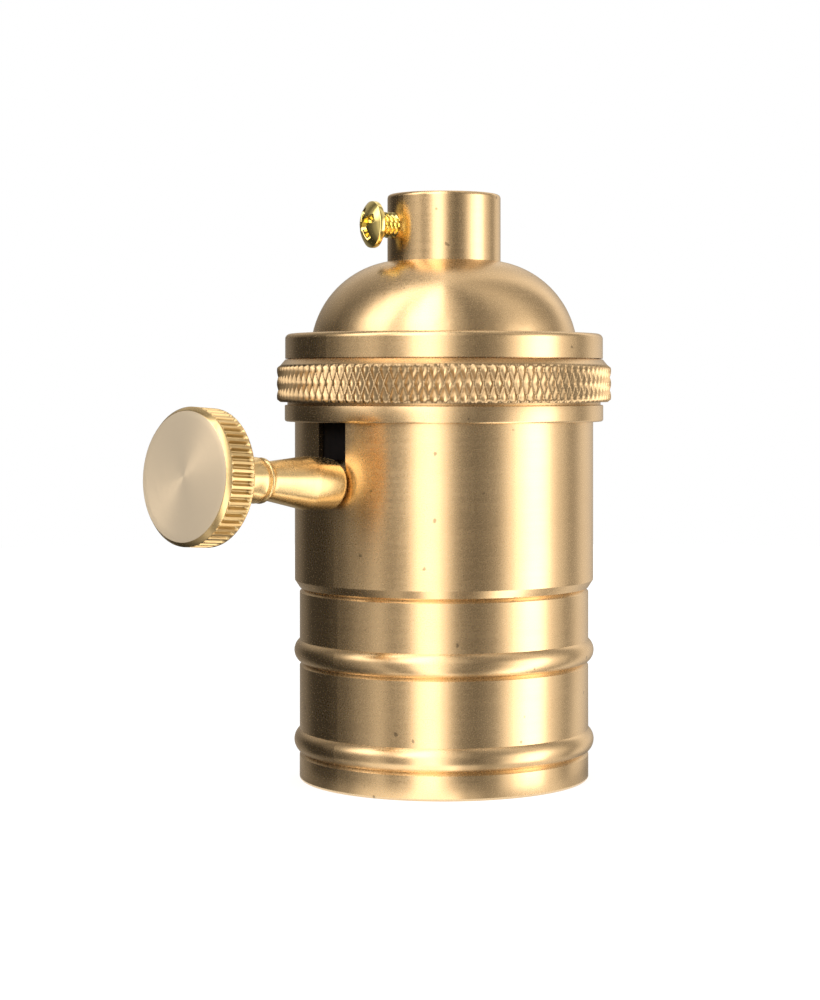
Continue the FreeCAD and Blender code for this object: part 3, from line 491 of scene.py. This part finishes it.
def make_skirt_thread():
    """The fine thread round the cap's skirt, which the union ring runs on."""
    low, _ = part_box("cap")
    return threaded_sleeve("skirt_thread", low[2] + 0.3 * MM, 55.6 * MM, UNION_PITCH,
                           back=20.4 * MM, root=20.555 * MM, crest=20.665 * MM,
                           sides=192, rows_a_turn=6)


def make_pipe_thread():
    """The M10 thread in the neck, left open round the clamp screw's hole."""
    def clear_of_screw(angle, height):
        across = NECK_BORE * math.sin(angle - SCREW_BEARING)
        ahead = math.cos(angle - SCREW_BEARING) > 0.0
        return not (ahead and math.hypot(across, height - SCREW_HEIGHT) < SCREW_HOLE)
    return threaded_sleeve("pipe_thread", 69.0 * MM, 77.5 * MM, PIPE_PITCH,
                           back=4.50 * MM, root=4.45 * MM, crest=4.33 * MM,
                           sides=120, rows_a_turn=8, kept=clear_of_screw)


# ---------------------------------------------------------------- clamp screw

SCREW_SIDES = 256
SCREW_PITCH = 0.6 * MM
SHANK_START = 5.1 * MM
SHANK_POINT = 0.8 * MM
SHANK_ROOT = 1.40 * MM
SHANK_CREST = 1.75 * MM
HEAD_BACK = 10.1 * MM
HEAD_SIDE = 0.7 * MM
HEAD_RADIUS = 3.1 * MM
HEAD_DOME = 1.2 * MM
HEAD_RINGS = 90
CROSS_HALF_WIDTH = 0.50 * MM
CROSS_WALL = 0.26 * MM
CROSS_REACH = 2.35 * MM
CROSS_DEPTH = 1.1 * MM
CROSS_TURN = math.radians(20.0)


def shank_radius(along, turn):
    """Radius of the shank, which starts in a point, at a share of a turn round it."""
    wave = 1.0 - abs(2.0 * ((along / SCREW_PITCH - turn) % 1.0) - 1.0)
    point = ease((along - SHANK_START) / SHANK_POINT)
    return (SHANK_ROOT + (SHANK_CREST - SHANK_ROOT) * wave * point) * (0.75 + 0.25 * point)


def head_height(radius):
    """How far the domed head stands above its back, before the cross is sunk in it."""
    arc = (HEAD_DOME ** 2 + HEAD_RADIUS ** 2) / (2.0 * HEAD_DOME)
    rise = math.sqrt(arc ** 2 - radius ** 2) - (arc - HEAD_DOME)
    return HEAD_SIDE + rise


def cross_depth(across, up):
    """Depth of the cross recess at a place on the head: sloping arms and steep walls."""
    depth = 0.0
    for along, beside in ((across, up), (up, across)):
        arm = ease((CROSS_HALF_WIDTH + 0.5 * CROSS_WALL - abs(beside)) / CROSS_WALL)
        slope = 1.0 - abs(along) / CROSS_REACH
        depth = max(depth, arm * ease(slope / 0.55) * CROSS_DEPTH)
    return depth


def make_clamp_screw():
    """The screw that clamps the pipe: a threaded shank under a domed head with a cross recess."""
    rows = []
    steps = round((HEAD_BACK - SHANK_START) / SCREW_PITCH * 10)
    for step in range(steps + 1):
        along = SHANK_START + (HEAD_BACK - SHANK_START) * step / steps
        rows.append([(along, shank_radius(along, side / SCREW_SIDES)) for side in range(SCREW_SIDES)])
    rounded_back = [(HEAD_BACK, HEAD_RADIUS - 0.15 * MM),
                    (HEAD_BACK + 0.05 * MM, HEAD_RADIUS - 0.04 * MM),
                    (HEAD_BACK + 0.15 * MM, HEAD_RADIUS),
                    (HEAD_BACK + HEAD_SIDE - 0.12 * MM, HEAD_RADIUS)]
    rows += [[corner] * SCREW_SIDES for corner in rounded_back]
    for step in range(HEAD_RINGS, 0, -1):
        radius = (HEAD_RADIUS - 0.03 * MM) * step / HEAD_RINGS
        row = []
        for side in range(SCREW_SIDES):
            angle = full_turn(side / SCREW_SIDES)
            sunk = cross_depth(radius * math.cos(angle), radius * math.sin(angle))
            row.append((HEAD_BACK + head_height(radius) - sunk, radius))
        rows.append(row)
    bm = bmesh.new()
    rings = turned_rings(bm, ((0.0, 0.0, 0.0), (1.0, 0.0, 0.0)), (0.0, 1.0, 0.0), rows)
    skin(bm, rings)
    tip = bm.verts.new((SHANK_START, 0.0, 0.0))
    pit = bm.verts.new((HEAD_BACK + head_height(0.0) - CROSS_DEPTH, 0.0, 0.0))
    for side in range(SCREW_SIDES):
        after = (side + 1) % SCREW_SIDES
        bm.faces.new([rings[0][after], rings[0][side], tip])
        bm.faces.new([rings[-1][side], rings[-1][after], pit])
    place = Matrix.Translation((0.0, 0.0, SCREW_HEIGHT)) @ Matrix.Rotation(SCREW_BEARING, 4, "Z")
    bmesh.ops.transform(bm, matrix=place @ Matrix.Rotation(CROSS_TURN, 4, "X"), verts=bm.verts)
    screw = closed_object("clamp_screw_cross", bm)
    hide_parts("neck_screw")
    return screw


# ---------------------------------------------------------------- union ring

KNURL_MIDDLE = 52.65 * MM
KNURL_ROW = 1.72 * MM
KNURL_RUN_OUT = 0.3 * MM
KNURL_BANDS = 30
KNURL_SOFTNESS = 0.75


def knurl_radius(turn, height):
    """Two crossed sets of rolled grooves leave diamonds with soft tops."""
    across = KNURLS * turn
    up = (height - KNURL_MIDDLE) / (2.0 * KNURL_ROW)
    rise = min(0.5 + 0.5 * math.cos(full_turn(across + up)),
               0.5 + 0.5 * math.cos(full_turn(across - up)))
    ends = ease((height - KNURL_LOW) / KNURL_RUN_OUT) * ease((KNURL_HIGH - height) / KNURL_RUN_OUT)
    return KNURL_ROOT + (KNURL_CREST - KNURL_ROOT) * rise ** KNURL_SOFTNESS * ends


def make_union_ring():
    """The union ring: a collar, a parting groove, a diamond knurl and a flare, over a bore."""
    sides = KNURLS * 10
    # Millimetres up the axis and out from it.
    collar = [(48.35, 20.05), (47.60, 20.05), (47.60, 21.05), (47.63, 21.17), (47.70, 21.27),
              (47.80, 21.33), (47.92, 21.35), (49.68, 21.35), (49.77, 21.32), (49.80, 21.25)]
    groove = [(49.80, 21.03), (49.85, 21.00), (50.17, 21.00), (50.20, 21.03)]
    flare = [(55.14, 21.90), (55.86, 21.30), (55.90, 21.20)]
    bore = [(55.90, 20.70), (48.35, 20.70)]
    rows = even_rows(collar + groove, sides)
    for band in range(KNURL_BANDS + 1):
        height = KNURL_LOW + (KNURL_HIGH - KNURL_LOW) * band / KNURL_BANDS
        rows.append([(height, knurl_radius(side / sides, height)) for side in range(sides)])
    rows += even_rows(flare + bore, sides)
    bm = bmesh.new()
    skin(bm, turned_rings(bm, UP, (1.0, 0.0, 0.0), rows), closed=True)
    ring = closed_object("union_ring_knurled", bm)
    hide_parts("knurled_ring")
    return ring


# ---------------------------------------------------------------- switch knob

FLUTE_HALF_WIDTH = 0.29
FLUTE_START = KNOB_BACK + 0.25 * MM
FLUTE_END = KNOB_FACE - 0.62 * MM
FLUTE_RUN_OUT = 0.45 * MM
RIM_ROWS = 26


def flute(turn, along):
    """How deep the rim is cut at a place: round grooves that run out before the bevels."""
    off = abs((FLUTES * turn) % 1.0 - 0.5) / FLUTE_HALF_WIDTH
    if off >= 1.0:
        return 0.0
    ends = ease((along - FLUTE_START) / FLUTE_RUN_OUT) * ease((FLUTE_END - along) / FLUTE_RUN_OUT)
    return FLUTE_DEPTH * math.sqrt(1.0 - off * off) * ends


def make_knob():
    """The switch knob: a tapered stem, a beaded waist, and a fluted disc with a flat face."""
    sides = FLUTES * 12
    # Millimetres along the spindle and out from it.
    socket = [(26.3, 0.05), (26.3, 2.0), (20.3, 2.0)]
    barrel = arc_points((21.2, 2.4), 0.9, 180.0, 90.0, 6)
    barrel += [(23.0, 3.35), (25.0, 3.40), (25.3, 3.385)]
    cone = [(28.2, 2.93), (31.2, 2.47), (31.52, 2.43), (31.85, 2.42), (32.1, 2.50)]
    bead = arc_points((32.475, 2.60), 0.29, 170.0, 10.0, 8)
    swell = [(32.80, 2.56), (33.02, 2.56), (33.08, 2.78), (33.20, 2.88), (33.45, 2.90), (33.8, 2.88),
             (34.4, 2.76), (35.2, 2.62), (35.5, 2.60)]
    back = [(40.1, 2.60), (40.25, 2.66), (40.3, 2.80), (40.3, 5.5), (40.3, 8.12)]
    back += arc_points((40.55, 8.25), 0.25, 180.0, 90.0, 4)
    bevel = [(43.98, 8.46), (44.36, 8.10), (44.43, 8.04), (44.48, 7.98), (44.5, 7.90)]
    face = [(44.5, out) for out in (7.0, 6.0, 5.0, 4.0, 3.0, 2.0, 1.0, 0.4, 0.05)]
    rows = even_rows(socket + barrel + cone + bead + swell + back, sides)
    for row in range(1, RIM_ROWS + 1):
        along = FLUTE_START + (FLUTE_END - FLUTE_START) * row / RIM_ROWS
        rows.append([(along, KNOB_RADIUS - flute(side / sides, along)) for side in range(sides)])
    rows += even_rows(bevel + face, sides)
    bm = bmesh.new()
    rings = turned_rings(bm, ALONG_SPINDLE, (0.0, 1.0, 0.0), rows)
    skin(bm, rings)
    close_ends(bm, rings)
    knob = closed_object("knob_turned", bm)
    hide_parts("knob")
    return knob


# ---------------------------------------------------------------- contact spring

SPRING_TURNS = 4.5
SPRING_WIRE = 0.25 * MM
WIRE_SIDES = 12
STEPS_A_TURN = 48


def make_spring():
    """The coil spring over the centre contact, built at one length; in the real holder it shortens as
    a lamp pushes the contact up.
    """
    low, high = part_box("contact_spring")
    radius = high[0] - SPRING_WIRE
    foot = low[2] + SPRING_WIRE
    rise = high[2] - low[2] - 2.0 * SPRING_WIRE
    steps = round(SPRING_TURNS * STEPS_A_TURN)
    slope = math.atan2(rise, full_turn(SPRING_TURNS) * radius)
    bm = bmesh.new()
    rings = []
    for step in range(steps + 1):
        turn = full_turn(SPRING_TURNS * step / steps)
        out = Vector((math.cos(turn), math.sin(turn), 0.0))
        lift = Vector((math.sin(turn) * math.sin(slope), -math.cos(turn) * math.sin(slope),
                       math.cos(slope)))
        centre = out * radius + Vector((0.0, 0.0, foot + rise * step / steps))
        ring = []
        for side in range(WIRE_SIDES):
            angle = full_turn(side / WIRE_SIDES)
            wall = out * math.cos(angle) + lift * math.sin(angle)
            ring.append(bm.verts.new(centre + wall * SPRING_WIRE))
        rings.append(ring)
    skin(bm, rings)
    close_ends(bm, rings)
    spring = closed_object("contact_spring_coil", bm)
    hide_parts("contact_spring")
    return spring


# ---------------------------------------------------------------- pieces

dress(make_knob(), "switch_knob", "turned_brass")
spring = make_spring()
dress(spring, "holder", "spring_steel")
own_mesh(spring)
dress(make_union_ring(), "union_ring", "satin_brass", finish="knurled_brass")
dress(make_lamp_thread(), "holder", "rolled_brass")
dress(make_skirt_thread(), "top_cap", "satin_brass")
dress(make_pipe_thread(), "top_cap", "satin_brass")
dress(make_clamp_screw(), "clamp_screw", "gilt_screw")


# ---------------------------------------------------------------- studio

CAMERA_AZIMUTH = math.radians(45.0)
CAMERA_DISTANCE = 0.304
CAMERA_HEIGHT = 0.0522
CAMERA_LENS = 81.43
CAMERA_SHIFT = (-0.0340, -0.113)
FLOOR_RADIUS = 0.45
FLOOR_GREY = (0.32, 0.32, 0.32, 1.0)
FLOOR_GLOW = 0.72
WORLD_LIGHT = 0.45
WHITE = (1.0, 1.0, 1.0, 1.0)
LAMP_TARGET = (0.0, 0.0, 0.04)

# Softboxes and flags round the object, by their bearing from the camera in degrees, positive to
# its right: how bright each is in a reflection, where 1 is white paper. On the card close to the
# foot, level with the object, and above it.
FOOT_LIGHT = [
    (-180, 0.3), (-110, 0.15), (-85, 0.4), (-60, 1.1), (-40, 1.3), (-20, 2.0), (5, 2.0), (20, 0.8),
    (35, 0.45), (65, 0.9), (90, 1.0), (125, 0.6), (180, 0.3),
]
LEVEL_LIGHT = [
    (-180, 0.35), (-150, 0.2), (-130, 0.05), (-105, 0.04), (-85, 0.12), (-65, 0.35), (-52, 0.7),
    (-41, 0.28), (-30, 0.45), (-18, 2.2), (-8, 2.7), (0, 1.45), (8, 0.44), (14, 0.24), (25, 0.18),
    (40, 0.35), (52, 1.25), (60, 2.4), (70, 3.5), (81, 3.4), (91, 1.15), (100, 0.8), (115, 0.35),
    (135, 0.9), (180, 0.35),
]
HIGH_LIGHT = [
    (-180, 1.2), (-168, 0.7), (-140, 0.4), (-112, 0.16), (-92, 0.4), (-76, 2.6), (-62, 3.2),
    (-46, 0.9), (-27, 3.6), (-12, 3.4), (0, 1.7), (10, 0.6), (25, 0.22), (48, 0.3), (66, 0.65),
    (88, 0.85), (108, 0.45), (126, 0.3), (143, 1.2), (164, 0.7), (180, 1.2),
]
PEAK_LIGHT = 3.6
WARMTH = (1.0, 0.90, 0.76)
ROOM_RADIUS = 1.6
CARD_HEIGHT = 0.0003
EYE_LEVEL = (0.0, 0.0, 0.045)
# The sine of the elevation from eye level where one list gives way to the next.
FOOT_TO_LEVEL = (-0.886, -0.870)
LEVEL_TO_HIGH = (0.15, 0.45)
FOOT_SHIFT = 10.0 * MM
NEAREST_FOOT = 9.0 * MM


def seen_by_eye_or_gloss(tree):
    """1 on camera, glossy and transmission rays, 0 on the rays that light the object."""
    path = tree.add("ShaderNodeLightPath")
    either = tree.math("MAXIMUM", path.outputs["Is Camera Ray"], path.outputs["Is Glossy Ray"])
    return tree.math("MAXIMUM", either, path.outputs["Is Transmission Ray"])


def make_floor():
    """A floor that looks white, and takes the object's soft shadow."""
    bm = bmesh.new()
    bmesh.ops.create_circle(bm, cap_ends=True, segments=96, radius=FLOOR_RADIUS)
    floor = plain_object("floor", bm)
    shader = Shader("pale_floor")
    diffuse = shader.add("ShaderNodeBsdfDiffuse")
    diffuse.inputs["Color"].default_value = FLOOR_GREY
    glow = shader.add("ShaderNodeEmission")
    shader.put(glow.inputs["Strength"],
               shader.math("MULTIPLY", seen_by_eye_or_gloss(shader), FLOOR_GLOW))
    both = shader.add("ShaderNodeAddShader")
    shader.join(diffuse.outputs[0], both.inputs[0])
    shader.join(glow.outputs[0], both.inputs[1])
    shader.show_only(both.outputs[0])
    floor.data.materials.append(shader.material)


def make_room():
    """A dome of softboxes over a low card: only reflections see it."""
    bm = bmesh.new()
    bmesh.ops.create_uvsphere(bm, u_segments=96, v_segments=48, radius=ROOM_RADIUS)
    for vert in bm.verts:
        vert.co.z = max(vert.co.z, CARD_HEIGHT)
    room = plain_object("softboxes_and_flags", bm)
    shader = Shader("softboxes_and_flags")
    ahead = (math.cos(CAMERA_AZIMUTH), math.sin(CAMERA_AZIMUTH), 0.0)
    aside = (-ahead[1], ahead[0], 0.0)
    seen = shader.vector("NORMALIZE", shader.vector("SUBTRACT", shader.place(), EYE_LEVEL))
    bearing = shader.math("ARCTAN2", shader.vector("DOT_PRODUCT", seen, aside),
                          shader.vector("DOT_PRODUCT", seen, ahead))
    # A ray that leaves the shell sideways comes down nearer to the front than it set out: close to
    # the foot the bearings are spread again, so that the bands stay upright down to the edge.
    out = shader.vector("LENGTH", shader.vector("MULTIPLY", shader.place(), (1.0, 1.0, 0.0)))
    from_wall = shader.math("MAXIMUM", shader.math("SUBTRACT", out, FOOT_SHIFT), NEAREST_FOOT)
    bearing = shader.math("MULTIPLY", bearing, shader.math("DIVIDE", out, from_wall))
    share = shader.math("MULTIPLY_ADD", bearing, 0.5 / math.pi, 0.5)
    foot_light, level_light, high_light = (
        shader.ramp(share, [((angle + 180.0) / 360.0, (light / PEAK_LIGHT,) * 3)
                            for angle, light in stops], "EASE")
        for stops in (FOOT_LIGHT, LEVEL_LIGHT, HIGH_LIGHT))
    height = shader.vector("DOT_PRODUCT", seen, (0.0, 0.0, 1.0))
    near_foot = shader.spread(height, *FOOT_TO_LEVEL, 1.0, 0.0)
    above = shader.spread(height, *LEVEL_TO_HIGH, 0.0, 1.0)
    light = shader.mix(above, shader.mix(near_foot, level_light, foot_light), high_light)
    glow = shader.add("ShaderNodeEmission")
    shader.put(glow.inputs["Color"], shader.mix(1.0, light, WARMTH, "MULTIPLY"))
    glow.inputs["Strength"].default_value = PEAK_LIGHT
    shader.show_only(glow.outputs[0])
    shader.material.cycles.emission_sampling = "NONE"
    room.data.materials.append(shader.material)
    room.visible_camera = False
    room.visible_diffuse = False
    room.visible_shadow = False
    room.visible_transmission = False


def make_world():
    """A white background, dimmer on the rays that light the object."""
    world = bpy.data.worlds.new("white_room")
    bpy.context.scene.world = world
    world.use_nodes = True
    tree = NodeTree(world.node_tree)
    background = tree.nodes["Background"]
    background.inputs["Color"].default_value = WHITE
    tree.put(background.inputs["Strength"],
             tree.spread(seen_by_eye_or_gloss(tree), 0.0, 1.0, WORLD_LIGHT, 1.0))


def make_lamp(name, bearing, height, distance, size, power):
    """A soft lamp at a bearing from the camera, aimed at the middle of the object."""
    light = bpy.data.lights.new(name, "AREA")
    light.size = size
    light.energy = power
    lamp = bpy.data.objects.new(name, light)
    angle = CAMERA_AZIMUTH + math.radians(bearing)
    lamp.location = (distance * math.cos(angle), distance * math.sin(angle), height)
    aim = Vector(LAMP_TARGET) - lamp.location
    lamp.rotation_euler = aim.to_track_quat("-Z", "Y").to_euler()
    lamp.visible_glossy = False
    bpy.context.scene.collection.objects.link(lamp)


def make_camera():
    """The camera of the reference view, level, shifted off the object's middle."""
    camera = bpy.data.cameras.new("camera")
    camera.lens = CAMERA_LENS
    camera.sensor_width = 36.0
    camera.shift_x, camera.shift_y = CAMERA_SHIFT
    camera.clip_start = 0.01
    eye = bpy.data.objects.new("camera", camera)
    eye.location = (CAMERA_DISTANCE * math.cos(CAMERA_AZIMUTH),
                    CAMERA_DISTANCE * math.sin(CAMERA_AZIMUTH), CAMERA_HEIGHT)
    eye.rotation_euler = (math.radians(90.0), 0.0, CAMERA_AZIMUTH + math.radians(90.0))
    bpy.context.scene.collection.objects.link(eye)
    bpy.context.scene.camera = eye


make_floor()
make_room()
make_world()
make_lamp("key", bearing=-35.0, height=0.55, distance=0.70, size=0.45, power=7.0)
make_lamp("fill", bearing=70.0, height=0.45, distance=0.70, size=0.45, power=5.0)
make_lamp("back", bearing=170.0, height=0.60, distance=0.80, size=0.40, power=3.0)
make_camera()
bpy.context.scene.view_settings.view_transform = "Standard"
